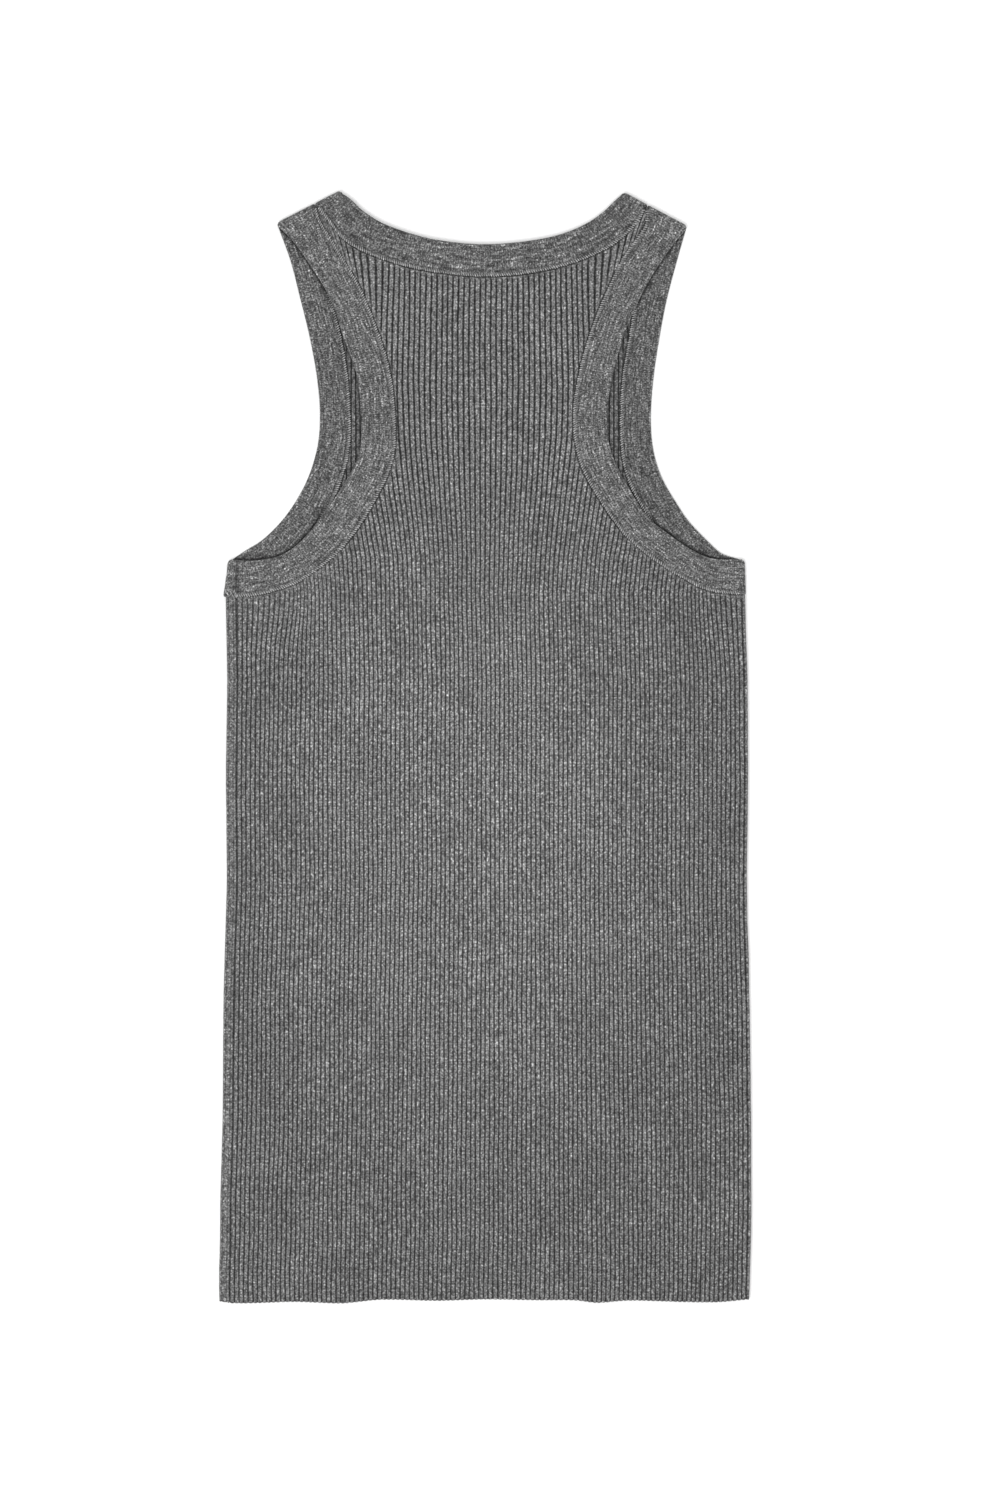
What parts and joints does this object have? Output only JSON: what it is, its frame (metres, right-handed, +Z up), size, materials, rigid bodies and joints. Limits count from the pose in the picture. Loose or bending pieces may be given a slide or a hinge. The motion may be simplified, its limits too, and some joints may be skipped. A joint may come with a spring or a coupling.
{
  "type": "tank top",
  "caption": "Sleeveless rib-knit tank top with a racer back, lying flat with its back up; smooth doubled bands edge the neckline and armholes.",
  "frame": {"origin": "on the surface that the garment lies on, under the middle of its outline", "axes": "+X across the garment, towards the right as the picture shows it; +Y from the hem to the shoulders; +Z up from the surface. The front lies below, the back faces up"},
  "size_m": [0.3302, 0.6893, 0.007],
  "materials": {
    "rib_back": "grey marl one-by-one rib knit, matt",
    "rib_front": "grey marl one-by-one rib knit, matt",
    "band_neck": "grey marl smooth knit, matt",
    "band_arm_left": "grey marl smooth knit, matt",
    "band_arm_right": "grey marl smooth knit, matt"
  },
  "bodies": {
    "root": {"back": "rib_back", "front": "rib_front", "neckband": "band_neck", "armband_left": "band_arm_left", "armband_right": "band_arm_right"}
  },
  "joints": []
}
